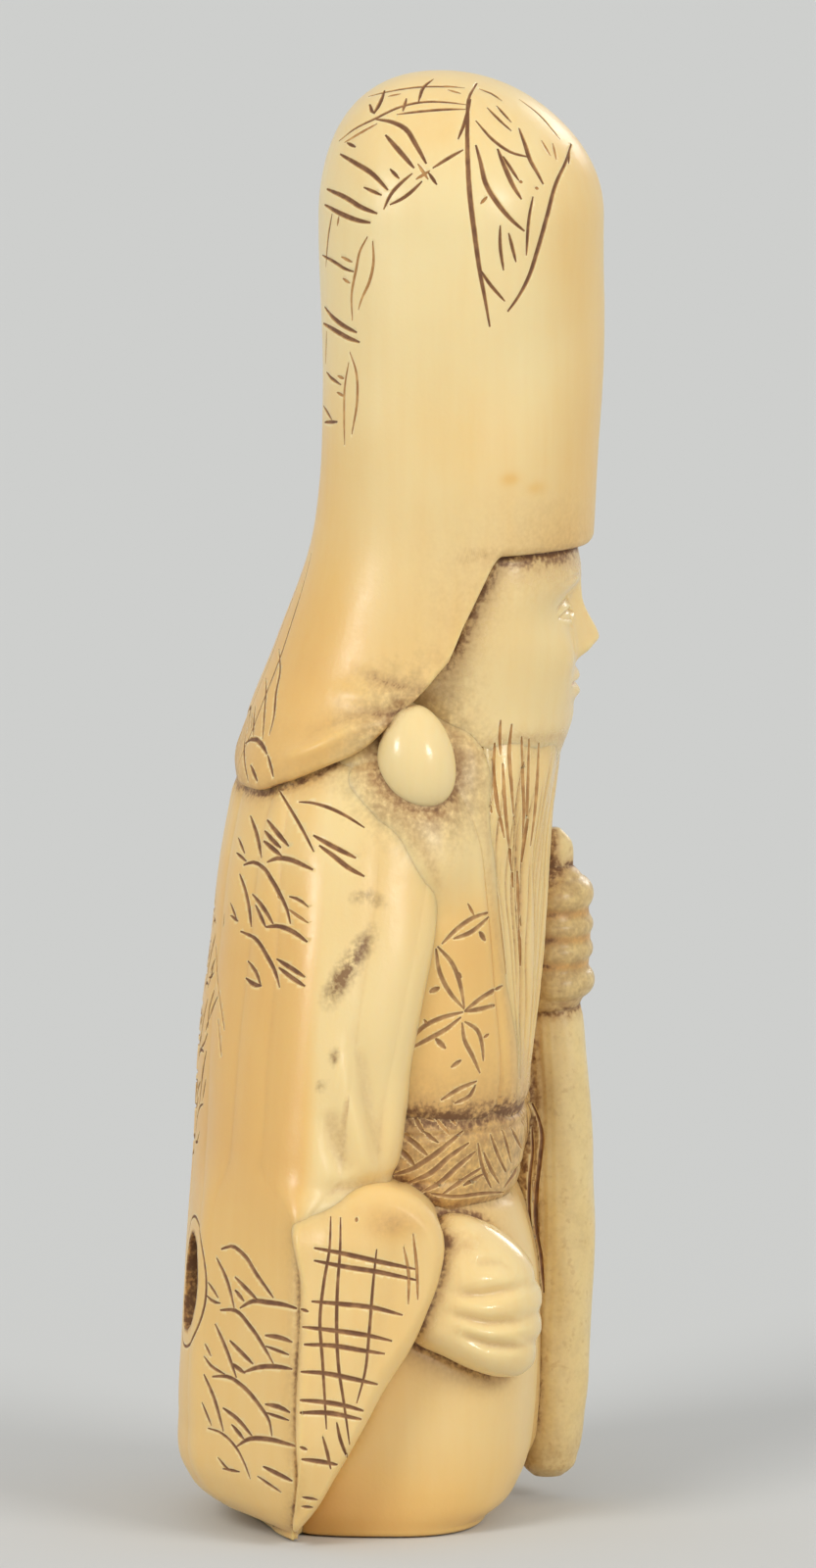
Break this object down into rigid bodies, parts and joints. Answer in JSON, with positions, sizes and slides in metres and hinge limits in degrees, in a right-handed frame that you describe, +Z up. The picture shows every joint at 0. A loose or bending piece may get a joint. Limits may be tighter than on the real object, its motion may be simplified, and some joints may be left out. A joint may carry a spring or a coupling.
{
  "type": "netsuke figurine",
  "caption": "Standing hooded elder with a long beard, staff and hanging sleeves, carved in ivory, with a pair of cord holes in the back.",
  "frame": {"origin": "on the flat face that the figure stands on, under the middle of the skirt", "axes": "+Z up to the crown of the hood, -Y the way the face looks, +X the figure's left, where the staff is"},
  "size_m": [0.0232, 0.0206, 0.07],
  "materials": {
    "ivory_hood": "polished ivory, pale cream, engraved lines stained brown",
    "ivory_skin": "polished ivory, pale cream, brown stain in the grooves",
    "ivory_robe": "polished ivory, warm cream, engraved lines stained brown",
    "ivory_coat": "polished ivory, honey coloured, engraved lines stained brown",
    "ivory_staff": "satin ivory, greyer, brown dirt in the grooves"
  },
  "bodies": {
    "root": {"hood": "ivory_hood", "head": "ivory_skin", "right_ear_lobe": "ivory_skin", "left_ear_lobe": "ivory_skin", "beard": "ivory_skin", "chest": "ivory_robe", "sash": "ivory_robe", "skirt": "ivory_robe", "coat": "ivory_coat", "right_sleeve": "ivory_coat", "left_sleeve": "ivory_coat", "right_hand": "ivory_skin", "left_hand": "ivory_staff", "staff": "ivory_staff"}
  },
  "joints": []
}
